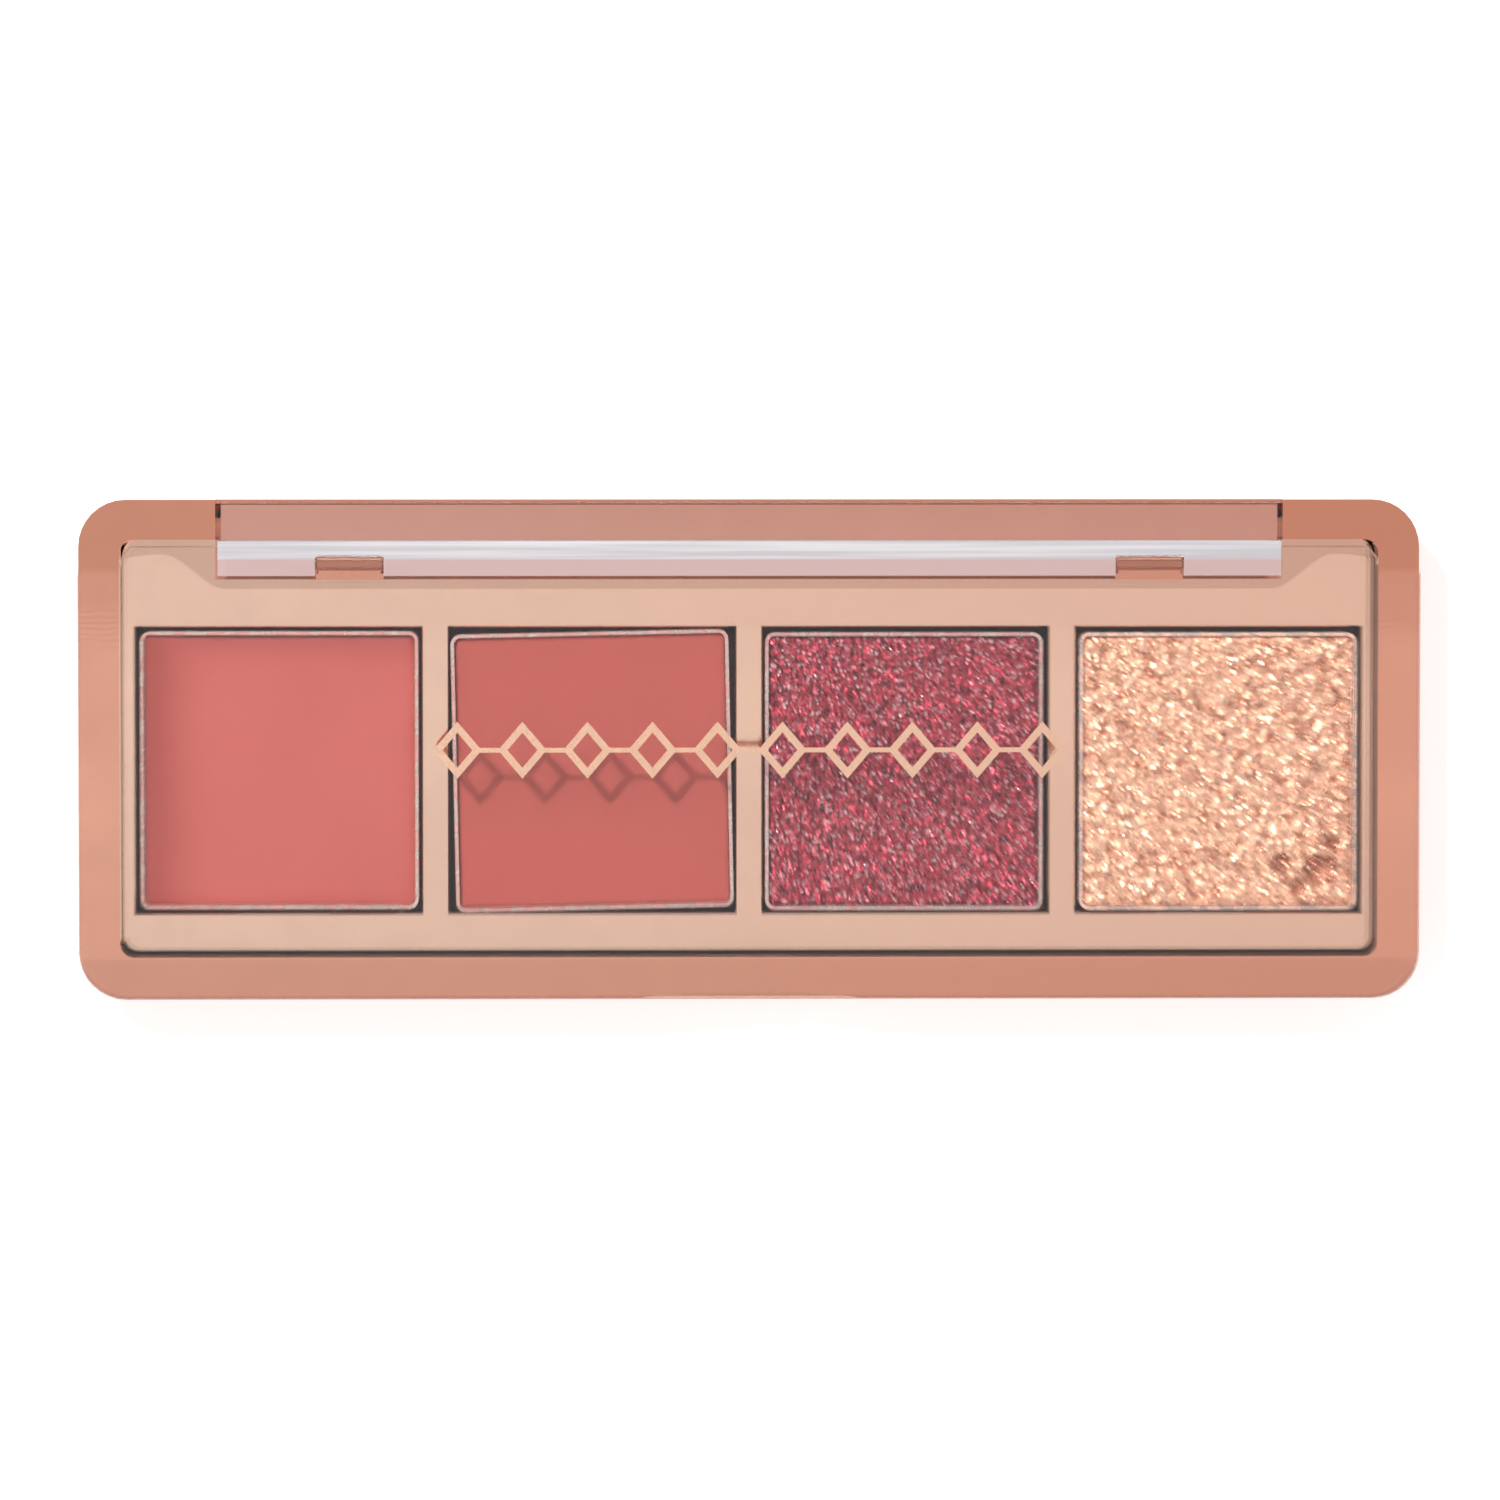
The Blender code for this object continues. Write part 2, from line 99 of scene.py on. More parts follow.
# Painted light on the hinge bar: pale tones, a pink reflection and a crease highlight
BAR_LIGHT_TONES = ((0.62, 0.63, 0.67), (0.80, 0.80, 0.83))
BAR_REFLECTED_PINK = (0.69, 0.50, 0.485)
BAR_CREASE_HIGHLIGHT = (0.80, 0.62, 0.60)
CREAM = (0.425, 0.0745, 0.061)
CREAM_PALE = (0.45, 0.083, 0.068)
CREAM_SHADE = (0.29, 0.036, 0.027)
MATTE = (0.422, 0.091, 0.075)
SHIMMER = (0.36, 0.042, 0.062)
# Painted shade in the shimmer's hollows, also its own darker grain
SHIMMER_GRAIN_AND_SHADE = (0.055, 0.006, 0.012)
SHIMMER_GLINT = (0.96, 0.66, 0.70)
GLITTER = (0.80, 0.44, 0.29)
# Painted shade in the glitter's hollows and chips, also its own darker grain
GLITTER_GRAIN_AND_SHADE = (0.44, 0.16, 0.09)
GLITTER_GLINT = (0.98, 0.74, 0.56)
GLITTER_FLAKE = (0.93, 0.62, 0.42)
WHITE = (1.0, 1.0, 1.0)
MIDDLE = (0.5, 0.5, 0.5)

# Finishes: WARM_END multiplies a metal's colour at the right end, FRONT_LEAN tips its normal at the front,
# and COATED_GLASS is the share of plain transparency that weakens the lid's reflections
WARM_END = (0.955, 0.88, 0.85)
FRONT_LEAN = -0.013
COATED_GLASS = 0.5
RIPPLE_PITCH = 0.42
WEAVE_PITCH = 0.34

# Cakes and loose flakes: the matte's pan is turned a little in its well
PAN_TURN = {"powder_matte": math.radians(1.2)}
CAKE_CORNER = 0.45 * MM
CAKE_SHARP = math.radians(40.0)
FLAKE_CORNERS = 5
FLAKE_TAPER = 0.9
FLAKE_THICK = 0.012 * MM
FLAKE_SINK = 0.01 * MM
FLAKE_MARGIN = 0.25

# Places on the palette, in millimetres
HINGE_Y = 13.0
TAB_SHOULDER = 44.1
LID_FADE = (HINGE_Y - 1.6, HINGE_Y - 0.2)
HOLE_PITCH = 22.1
RIM_TOP = 8.2
FRONT_RIM = (-14.9, -14.6)
FRONT_WALL = (-14.75, -13.9)
RIGHT_WALL = (43.9, 44.25)
HOLLOW_BACK = 14.8
TRAY_TOP = 5.1
WELL_BLOCK_X = 43.5
WELL_BLOCK_FRONT = -11.9
WELL_BLOCK_BACK = 8.8
BAR_FRONT = 12.2
BAR_CREASE = 13.35
BAR_BACK = 14.62
BAR_HALF = 37.2
KNUCKLE_X = 28.0
KNUCKLE_HALF = 2.45
KNUCKLE_BACK = 13.66
CREAM_LEFT = -43.0
CREAM_BACK = 8.1

# How far each cake's middle lies below the top of its CAD solid, in millimetres
CREAM_SINK = 0.54
MATTE_SINK = 0.03
SHIMMER_SINK = 0.07
GLITTER_SINK = 0.11

# Chips broken out of the glitter: x and y from its middle, radius and depth, in millimetres
CHIPS = [(7.3, -7.0, 1.3, 0.5), (4.6, -6.6, 0.8, 0.40), (8.3, -5.2, 0.6, 0.35), (5.8, -8.3, 0.7, 0.4),
         (-7.9, 8.4, 0.6, 0.12), (1.2, -2.5, 0.5, 0.10)]


class Nodes:
    """A material's node tree, with short ways to add the nodes that the palette's surfaces use."""

    def __init__(self, name):
        self.material = bpy.data.materials.new(name)
        self.material.use_nodes = True
        self.tree = self.material.node_tree
        self.shader = self.tree.nodes["Principled BSDF"]
        self.output = self.tree.nodes["Material Output"]
        coordinates = self.tree.nodes.new("ShaderNodeTexCoord")
        self.place = self.vector("SCALE", coordinates.outputs["Object"], scale=1.0 / MM)

    def link(self, source, target):
        self.tree.links.new(source, target)

    def fill(self, socket, value):
        if isinstance(value, bpy.types.NodeSocket):
            self.link(value, socket)
        else:
            socket.default_value = value

    def math(self, operation, first, second=0.0, third=0.0, clamp=False):
        node = self.tree.nodes.new("ShaderNodeMath")
        node.operation = operation
        node.use_clamp = clamp
        for socket, value in zip(node.inputs, (first, second, third)):
            self.fill(socket, value)
        return node.outputs[0]

    def vector(self, operation, first, second=(0.0, 0.0, 0.0), scale=1.0):
        node = self.tree.nodes.new("ShaderNodeVectorMath")
        node.operation = operation
        self.fill(node.inputs[0], first)
        if operation == "SCALE":
            self.fill(node.inputs["Scale"], scale)
        else:
            self.fill(node.inputs[1], second)
        return node.outputs[0]

    def noise(self, scale, detail=2.0, place=None, roughness=0.5):
        """Noise on millimetre coordinates: scale is features per millimetre."""
        node = self.tree.nodes.new("ShaderNodeTexNoise")
        self.fill(node.inputs["Vector"], place or self.place)
        node.inputs["Scale"].default_value = scale
        node.inputs["Detail"].default_value = detail
        node.inputs["Roughness"].default_value = roughness
        return node

    def cells(self, scale, place=None):
        node = self.tree.nodes.new("ShaderNodeTexVoronoi")
        self.fill(node.inputs["Vector"], place or self.place)
        node.inputs["Scale"].default_value = scale
        return node

    def spread(self, value, low, high, to_low=0.0, to_high=1.0):
        """A value eased from one range to another, and held at its ends."""
        node = self.tree.nodes.new("ShaderNodeMapRange")
        node.interpolation_type = "SMOOTHSTEP"
        for key, item in (("Value", value), ("From Min", low), ("From Max", high),
                          ("To Min", to_low), ("To Max", to_high)):
            self.fill(node.inputs[key], item)
        return node.outputs[0]

    def blend(self, factor, first, second):
        node = self.tree.nodes.new("ShaderNodeMix")
        node.data_type = "RGBA"
        self.fill(node.inputs["Factor"], factor)
        for socket, value in zip((node.inputs[6], node.inputs[7]), (first, second)):
            self.fill(socket, value if isinstance(value, bpy.types.NodeSocket) else (*value, 1.0))
        return node.outputs[2]

    def mix(self, factor, first, second):
        """Two shaders mixed."""
        node = self.tree.nodes.new("ShaderNodeMixShader")
        for socket, value in zip(node.inputs, (factor, first, second)):
            self.fill(socket, value)
        return node.outputs[0]

    def show(self, shader):
        self.link(shader, self.output.inputs["Surface"])

    def axis(self, letter):
        node = self.tree.nodes.new("ShaderNodeSeparateXYZ")
        self.fill(node.inputs[0], self.place)
        return node.outputs[letter]

    def tilt(self, offset):
        """Surface normal leaned over by a small vector."""
        geometry = self.tree.nodes.new("ShaderNodeNewGeometry")
        leaned = self.vector("ADD", geometry.outputs["Normal"], offset)
        self.fill(self.shader.inputs["Normal"], self.vector("NORMALIZE", leaned))

    def bump(self, height, strength, distance):
        node = self.tree.nodes.new("ShaderNodeBump")
        node.inputs["Strength"].default_value = strength
        node.inputs["Distance"].default_value = distance
        self.fill(node.inputs["Height"], height)
        self.fill(self.shader.inputs["Normal"], node.outputs[0])

    def set(self, **values):
        names = {"colour": "Base Color", "roughness": "Roughness", "metallic": "Metallic", "ior": "IOR",
                 "transmission": "Transmission Weight", "coat": "Coat Weight", "sheen": "Sheen Weight",
                 "coat_roughness": "Coat Roughness", "specular": "Specular IOR Level"}
        for key, value in values.items():
            if key == "colour" and not isinstance(value, bpy.types.NodeSocket):
                value = (*value, 1.0)
            self.fill(self.shader.inputs[names[key]], value)


def metallised(name, colour, waviness, ripple, lean, roughness, painted_shade_at):
    """Vacuum-metallised plastic: slightly wavy mirror, with moulding ripples across the side rims.

    The last argument gives a mask that is 1 where painted shade goes: a dark, rough shader stands for shade
    on deep walls and in wells.
    """
    surface = Nodes(name)
    slow = surface.vector("SUBTRACT", surface.noise(0.12, 1.0).outputs["Color"], MIDDLE)
    lean_by = surface.vector("SCALE", slow, scale=waviness)
    wander = surface.math("MULTIPLY", surface.noise(0.5).outputs[0], 0.8)
    along = surface.math("ADD", surface.axis("Y"), wander)
    wave = surface.math("SINE", surface.math("MULTIPLY", along, 2.0 * math.pi / RIPPLE_PITCH))
    patchy = surface.spread(surface.noise(0.25, 2.0).outputs[0], 0.35, 0.6)
    lift = surface.math("MULTIPLY", surface.math("MULTIPLY", wave, patchy), ripple)
    join = surface.tree.nodes.new("ShaderNodeCombineXYZ")
    at_front = surface.spread(surface.axis("Y"), *FRONT_RIM, FRONT_LEAN, 0.0)
    surface.fill(join.inputs["Y"], surface.math("ADD", surface.math("ADD", lift, lean), at_front))
    surface.tilt(surface.vector("ADD", lean_by, join.outputs[0]))
    smudge = surface.noise(0.35, 4.0, roughness=0.6).outputs[0]
    dust = surface.spread(surface.cells(1.7).outputs["Distance"], 0.0, 0.05, 1.0, 0.0)
    haze = surface.spread(smudge, 0.45, 0.75, roughness * 0.7, roughness * 1.6)
    worn = surface.blend(surface.spread(smudge, 0.3, 0.8), colour, tuple(0.95 * part for part in colour))
    warmer = tuple(part * warm for part, warm in zip(colour, WARM_END))
    surface.set(
        colour=surface.blend(surface.spread(surface.axis("X"), -40.0, 47.0), worn, warmer),
        metallic=1.0,
        roughness=surface.math("ADD", haze, surface.math("MULTIPLY", dust, 0.25)),
        coat=0.25,
        coat_roughness=0.03,
    )
    # Painted shade: a dark, rough shader mixed in where the mask is 1
    shade_shader = surface.tree.nodes.new("ShaderNodeBsdfPrincipled")
    shade_shader.inputs["Roughness"].default_value = 0.4
    shade_colour = surface.blend(smudge, PAINTED_SHADE_DARK, tuple(1.6 * part for part in PAINTED_SHADE_DARK))
    surface.fill(shade_shader.inputs["Base Color"], shade_colour)
    surface.show(surface.mix(painted_shade_at(surface), surface.shader.outputs[0], shade_shader.outputs[0]))
    return surface.material


def painted_shade_wells(surface):
    """Painted shade in the tray's deep square wells, below its top face."""
    inside = surface.math("MULTIPLY", band(surface, "X", -WELL_BLOCK_X, WELL_BLOCK_X, 0.02),
                          band(surface, "Y", WELL_BLOCK_FRONT, WELL_BLOCK_BACK, 0.02))
    deep = surface.spread(surface.axis("Z"), TRAY_TOP - 0.18, TRAY_TOP - 0.1, 1.0, 0.0)
    return surface.math("MULTIPLY", inside, deep)


def painted_shade_walls(surface):
    """Painted shade on everything below the rim's top at the front and right inner walls, the base's
    underside included.
    """
    deep = surface.spread(surface.axis("Z"), RIM_TOP - 0.25, RIM_TOP - 0.05, 1.0, 0.0)
    front = band(surface, "Y", *FRONT_WALL, 0.03)
    right = band(surface, "X", *RIGHT_WALL, 0.03)
    walls = surface.math("MULTIPLY", surface.math("MAXIMUM", front, right), 0.9)
    inside = surface.math("MULTIPLY", band(surface, "X", -RIGHT_WALL[1], RIGHT_WALL[1], 0.03),
                          band(surface, "Y", FRONT_WALL[0], HOLLOW_BACK, 0.03))
    return surface.math("MULTIPLY", surface.math("MULTIPLY", deep, walls), inside)


def band(surface, letter, low, high, soft):
    """1 between two places on an axis, with soft ends."""
    place = surface.axis(letter)
    rise = surface.spread(place, low - soft, low + soft)
    fall = surface.spread(place, high - soft, high + soft, 1.0, 0.0)
    return surface.math("MULTIPLY", rise, fall)


def clear_plastic():
    """Clear moulding with weak reflections, gone on the rear of the side rims, and painted light over the
    hinge bar.
    """
    surface = Nodes("clear_plastic")
    swirl = surface.noise(0.08, 2.0).outputs["Color"]
    surface.tilt(surface.vector("SCALE", surface.vector("SUBTRACT", swirl, MIDDLE), scale=0.0012))
    fine = surface.spread(surface.noise(0.6, 5.0, roughness=0.7).outputs[0], 0.55, 0.8, 0.0, 0.06)
    surface.set(colour=CLEAR, transmission=1.0, ior=1.49, roughness=fine)
    rays = surface.tree.nodes.new("ShaderNodeLightPath")
    glass = surface.mix(rays.outputs["Is Shadow Ray"], surface.shader.outputs[0],
                        see_through(surface, CLEAR_SHADOW))
    shoulder = surface.spread(surface.math("ABSOLUTE", surface.axis("X")), TAB_SHOULDER - 0.02,
                              TAB_SHOULDER + 0.02)
    faded = surface.math("MULTIPLY", shoulder, surface.spread(surface.axis("Y"), *LID_FADE))
    eased = surface.mix(surface.math("MAXIMUM", faded, COATED_GLASS), glass, see_through(surface, WHITE))
    # Painted light: a pale shader laid over the hinge bar, apart from the knuckles
    surface.show(surface.mix(surface.math("MULTIPLY", bar_zone(surface), 0.86), eased, painted_bar_light(surface)))
    return surface.material


def see_through(surface, colour):
    node = surface.tree.nodes.new("ShaderNodeBsdfTransparent")
    node.inputs["Color"].default_value = (*colour, 1.0)
    return node.outputs[0]


def painted_bar_light(surface):
    """Painted light on the hinge bar: pale blue behind its crease, pink reflection in front, highlight on
    the crease, with fine streaks.
    """
    shader = surface.tree.nodes.new("ShaderNodeBsdfPrincipled")
    shader.inputs["Roughness"].default_value = 0.22
    shader.inputs["Coat Weight"].default_value = 0.6
    stretched = surface.vector("MULTIPLY", surface.place, (0.06, 4.0, 0.3))
    streak = surface.noise(0.7, 3.0, place=stretched).outputs[0]
    blue = surface.blend(surface.spread(streak, 0.35, 0.65), *BAR_LIGHT_TONES)
    behind = surface.spread(surface.axis("Y"), BAR_CREASE - 0.06, BAR_CREASE + 0.1)
    shaded = surface.blend(behind, BAR_REFLECTED_PINK, blue)
    crease = band(surface, "Y", BAR_CREASE - 0.05, BAR_CREASE + 0.05, 0.04)
    surface.fill(shader.inputs["Base Color"],
                 surface.blend(surface.math("MULTIPLY", crease, 0.35), shaded, BAR_CREASE_HIGHLIGHT))
    return shader.outputs[0]


def bar_zone(surface):
    """1 on the hinge bar, apart from the two places where the knuckles show through."""
    inside = surface.math("MULTIPLY", band(surface, "Y", BAR_FRONT, BAR_BACK, 0.04),
                          band(surface, "X", -BAR_HALF, BAR_HALF, 0.04))
    mirrored = surface.math("ABSOLUTE", surface.axis("X"))
    off_knuckle = surface.math("ABSOLUTE", surface.math("SUBTRACT", mirrored, KNUCKLE_X))
    across = surface.spread(off_knuckle, KNUCKLE_HALF - 0.1, KNUCKLE_HALF, 1.0, 0.0)
    along = surface.spread(surface.axis("Y"), KNUCKLE_BACK - 0.04, KNUCKLE_BACK + 0.04, 1.0, 0.0)
    knuckles = surface.math("MULTIPLY", across, along)
    return surface.math("MULTIPLY", inside, surface.math("SUBTRACT", 1.0, knuckles))


def powder_dust(surface, under):
    """Patches of each pan's own powder on its rim: gives the tint, and how much powder lies there."""
    tint = under
    grains = surface.spread(surface.noise(1.1, 5.0, roughness=0.7).outputs[0], 0.42, 0.56)
    for index, colour in enumerate((CREAM, MATTE, SHIMMER, GLITTER)):
        middle = (index - 1.5) * HOLE_PITCH
        here = band(surface, "X", middle - HOLE_PITCH / 2, middle + HOLE_PITCH / 2, 0.1)
        cover = surface.math("MULTIPLY", surface.math("MULTIPLY", here, grains), 0.6)
        tint = surface.blend(cover, tint, colour)
    return tint, grains


def plain_metal(name, colour, roughness, streaks, dusted=False):
    """Drawn or pressed metal with fine streaks, and powder on it where dusted."""
    surface = Nodes(name)
    drawn = surface.noise(1.0, 4.0, place=surface.vector("MULTIPLY", surface.place, streaks)).outputs[0]
    tint = surface.blend(surface.spread(drawn, 0.3, 0.7), colour, tuple(0.8 * part for part in colour))
    metallic = 1.0
    if dusted:
        tint, grains = powder_dust(surface, tint)
        metallic = surface.math("SUBTRACT", 1.0, grains)
    surface.set(
        colour=tint,
        metallic=metallic,
        roughness=surface.spread(drawn, 0.3, 0.7, roughness * 0.8, roughness * 1.5),
    )
    surface.bump(drawn, 0.15, 0.00002)
    return surface.material


def foil():
    """Hot-stamped foil: faint crinkle and pinholes of dullness."""
    surface = Nodes("foil")
    crinkle = surface.noise(3.0, 4.0, roughness=0.65).outputs[0]
    surface.set(
        colour=surface.blend(surface.spread(crinkle, 0.35, 0.7), FOIL, tuple(0.92 * part for part in FOIL)),
        metallic=1.0,
        roughness=surface.spread(crinkle, 0.3, 0.7, 0.22, 0.38),
    )
    surface.bump(crinkle, 0.2, 0.00001)
    return surface.material


def paper_label():
    """Blank paper, faintly fibrous."""
    surface = Nodes("label")
    fibre = surface.noise(2.2, 6.0, roughness=0.7).outputs[0]
    surface.set(colour=surface.blend(fibre, *LABEL_TONES), roughness=0.55, coat=0.15)
    surface.bump(fibre, 0.2, 0.00002)
    return surface.material


def glue():
    surface = Nodes("glue")
    cloud = surface.noise(0.8, 3.0).outputs[0]
    surface.set(colour=surface.blend(cloud, *GLUE_TONES), roughness=0.4)
    return surface.material


def cream_powder():
    """Poured cream: satin, with soft swirls, and painted shade of the pan wall where it climbs the pan at
    the left and back.
    """
    surface = Nodes("powder_cream")
    swirl = surface.noise(0.10, 3.0).outputs[0]
    pores = surface.noise(9.0, 3.0).outputs[0]
    # Painted shade of the pan wall: darker towards the left and back edges
    side = surface.spread(surface.axis("X"), CREAM_LEFT, CREAM_LEFT + 5.0, 0.75, 0.0)
    back = surface.spread(surface.axis("Y"), CREAM_BACK - 2.6, CREAM_BACK, 0.0, 0.5)
    poured = surface.blend(surface.spread(swirl, 0.3, 0.7), CREAM, CREAM_PALE)
    surface.set(
        colour=surface.blend(surface.math("MAXIMUM", side, back), poured, CREAM_SHADE),
        roughness=surface.spread(pores, 0.3, 0.7, 0.34, 0.46),
        specular=0.45,
        sheen=0.1,
    )
    surface.bump(pores, 0.08, 0.00002)
    return surface.material


def matte_powder():
    """Pressed powder with the fine weave of the press cloth."""
    surface = Nodes("powder_matte")
    turned = surface.tree.nodes.new("ShaderNodeVectorRotate")
    turned.inputs["Angle"].default_value = -PAN_TURN["powder_matte"]
    surface.fill(turned.inputs["Vector"], surface.place)
    split = surface.tree.nodes.new("ShaderNodeSeparateXYZ")
    surface.fill(split.inputs[0], turned.outputs[0])
    pitch = 2.0 * math.pi / WEAVE_PITCH
    across = surface.math("SINE", surface.math("MULTIPLY", split.outputs["X"], pitch))
    along = surface.math("SINE", surface.math("MULTIPLY", split.outputs["Y"], pitch))
    weave = surface.math("MULTIPLY", across, along)
    dust = surface.noise(12.0, 4.0, roughness=0.7).outputs[0]
    patches = surface.noise(0.25, 3.0).outputs[0]
    printed = surface.math("MULTIPLY", weave, surface.spread(patches, 0.25, 0.7, 0.1, 0.5))
    height = surface.math("ADD", printed, dust)
    tone = surface.math("ADD", surface.math("MULTIPLY", weave, 0.10), dust)
    surface.set(
        colour=surface.blend(surface.spread(tone, 0.3, 0.75), tuple(0.86 * part for part in MATTE),
                             tuple(1.12 * part for part in MATTE)),
        roughness=0.92,
        specular=0.15,
        sheen=0.15,
    )
    surface.bump(height, 0.5, 0.00003)
    return surface.material


def sparkle_powder(name, base, deep, glint, cell, lean, grain, shade_heights):
    """Flakes: each cell of a fine mosaic leans its own way, and some carry a painted glint.

    The last argument gives two heights, in millimetres, between which the colour goes from deep to base:
    painted shade in pits and chips.
    """
    surface = Nodes(name)
    stretched = surface.vector("MULTIPLY", surface.place, grain)
    jitter = surface.vector("SCALE", surface.noise(2.0, 2.0).outputs["Color"], scale=0.25)
    flakes = surface.cells(cell, place=surface.vector("ADD", surface.place, jitter))
    about_zero = surface.vector("SUBTRACT", flakes.outputs["Color"], MIDDLE)
    surface.tilt(surface.vector("SCALE", about_zero, scale=lean))
    tone = surface.noise(1.6, 5.0, place=stretched, roughness=0.7).outputs[0]
    pick = surface.tree.nodes.new("ShaderNodeSeparateColor")
    surface.fill(pick.inputs[0], flakes.outputs["Color"])
    painted_glint = surface.spread(pick.outputs[0], 0.86, 0.96)
    # Painted shade: low places, the chips above all, take the deep colour, which also follows the powder's
    # darker grain
    raised = surface.math("ADD", surface.math("MULTIPLY", tone, 0.12), surface.axis("Z"))
    level = surface.spread(raised, shade_heights[0] + 0.06, shade_heights[1] + 0.06)
    body = surface.blend(surface.math("MULTIPLY", surface.spread(tone, 0.36, 0.56), level), deep, base)
    # Painted glints: the brightest mosaic cells take the glint colour
    surface.set(
        colour=surface.blend(surface.math("MULTIPLY", painted_glint, 0.8), body, glint),
        metallic=surface.spread(pick.outputs[1], 0.2, 0.8, 0.35, 0.95),
        roughness=surface.spread(pick.outputs[2], 0.0, 1.0, 0.22, 0.55),
    )
    return surface.material


def flake_metal(name, colour, roughness):
    """Loose flakes: each patch has its own tint and gloss."""
    surface = Nodes(name)
    tint = surface.cells(2.0).outputs["Color"]
    pale = tuple(min(1.0, 1.15 * part + 0.08) for part in colour)
    split = surface.tree.nodes.new("ShaderNodeSeparateColor")
    surface.fill(split.inputs[0], tint)
    surface.set(colour=surface.blend(split.outputs[0], colour, pale), metallic=1.0,
                roughness=surface.spread(split.outputs[1], 0.0, 1.0, roughness * 0.6, roughness * 1.4))
    return surface.material


def paint(node, finish):
    """Give a CAD node its finish."""
    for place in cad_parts[node].material_slots:
        place.material = finish


def add_piece(name, shape, finish):
    """An object made from a finished bmesh, with one material."""
    mesh = bpy.data.meshes.new(name)
    shape.to_mesh(mesh)
    shape.free()
    mesh.materials.append(finish)
    piece = bpy.data.objects.new(name, mesh)
    bpy.context.scene.collection.objects.link(piece)
    return piece


def cake(name, node, cells, height, finish):
    """Pressed cake in its CAD solid's place: a rounded square with a fine top that follows height."""
    low, high = (Vector(corner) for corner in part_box(node))
    centre = (low + high) / 2
    # The cream lies square, so its box gives the true width, which a turned cake's box doesn't
    square_low, square_high = (Vector(corner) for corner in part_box("powder_cream"))
    half = (square_high.x - square_low.x) / 2
    shape = bmesh.new()
    rows = []
    for row in range(cells + 1):
        line = []
        for column in range(cells + 1):
            x = half * (2.0 * column / cells - 1.0)
            y = half * (2.0 * row / cells - 1.0)
            x, y = rounded(x, y, half)
            z = min(high.z + height(x / MM, y / MM, half / MM) * MM, high.z)
            line.append(shape.verts.new((x, y, z)))
        rows.append(line)
    for row in range(cells):
        for column in range(cells):
            shape.faces.new((rows[row][column], rows[row][column + 1], rows[row + 1][column + 1],
                             rows[row + 1][column]))
    close_below(shape, low.z)
    piece = add_piece(name, shape, finish)
    piece.data.shade_smooth()
    piece.data.set_sharp_from_angle(angle=CAKE_SHARP)
    turn = Matrix.Rotation(PAN_TURN.get(node, 0.0), 4, "Z")
    piece.data.transform(Matrix.Translation((centre.x, centre.y, 0.0)) @ turn)
    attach(piece, "base")
    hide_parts(node)


def close_below(shape, floor_z):
    """Walls from the sheet's border down to a flat bottom."""
    border = [edge for edge in shape.edges if edge.is_boundary]
    pulled = bmesh.ops.extrude_edge_only(shape, edges=border)["geom"]
    for vert in (item for item in pulled if isinstance(item, bmesh.types.BMVert)):
        vert.co.z = floor_z
    bottom = [edge for edge in shape.edges if edge.is_boundary]
    bmesh.ops.contextual_create(shape, geom=bottom)
    bmesh.ops.recalc_face_normals(shape, faces=shape.faces)


def rounded(x, y, half):
    """Pull a point of the square inside its rounded corners."""
    inner = half - CAKE_CORNER
    over_x = abs(x) - inner
    over_y = abs(y) - inner
    if over_x > 0.0 and over_y > 0.0:
        reach = math.hypot(over_x, over_y)
        if reach > CAKE_CORNER:
            x = math.copysign(inner + over_x * CAKE_CORNER / reach, x)
            y = math.copysign(inner + over_y * CAKE_CORNER / reach, y)
    return x, y


def edge_distance(x, y, half):
    return half - max(abs(x), abs(y))


def cream_height(x, y, half):
    """Smooth pour that climbs the pan at the left and back, with a soft swell across it."""
    gap = edge_distance(x, y, half)
    rim = 0.10 * math.exp(-gap / 0.35)
    climb = 0.44 * math.exp(-(half + x) / 1.7) + 0.16 * math.exp(-(half - y) / 1.2)
    swell = 0.04 * noise.noise(Vector((x * 0.12, y * 0.12, 3.0)))
    return -CREAM_SINK + climb - rim + swell


def matte_height(x, y, half):
    """Flat press, a little rubbed, with crumbs along its edge."""
    gap = edge_distance(x, y, half)
    rub = 0.02 * noise.noise(Vector((x * 0.3, y * 0.3, 7.0)))
    crumbs = 0.03 * max(noise.noise(Vector((x * 4.0, y * 4.0, 1.0))), 0.0) * math.exp(-gap / 0.25)
    return -MATTE_SINK - 0.10 * math.exp(-gap / 0.12) + rub + crumbs


def shimmer_height(x, y, half):
    """Wavy upright grain, finely rough."""
    gap = edge_distance(x, y, half)
    bend = 1.4 * noise.noise(Vector((x * 0.25, y * 0.25, 2.0)))
    grain = noise.fractal(Vector((x * 2.2 + bend, y * 0.9 + bend, 5.0)), 0.8, 2.0, 4)
    return -SHIMMER_SINK + 0.055 * grain - 0.08 * math.exp(-gap / 0.15)


def glitter_height(x, y, half):
    """Crumbly flakes with a few chips broken out, most of them near the front right corner."""
    gap = edge_distance(x, y, half)
    lumps = noise.fractal(Vector((x * 1.5, y * 1.5, 9.0)), 0.7, 2.1, 5)
    points = noise.voronoi(Vector((x * 2.4, y * 2.4, 0.5)))[0]
    flakes = points[1] - points[0]
    height = -GLITTER_SINK + 0.07 * lumps + 0.06 * min(flakes, 0.5)
    for chip_x, chip_y, radius, depth in CHIPS:
        jag = 0.35 * noise.noise(Vector((x * 1.8, y * 1.8, chip_x)))
        reach = math.hypot(x - chip_x, y - chip_y) / radius + jag
        if reach < 1.0:
            height -= depth * (1.0 - reach * reach)
    return height - 0.08 * math.exp(-gap / 0.2)


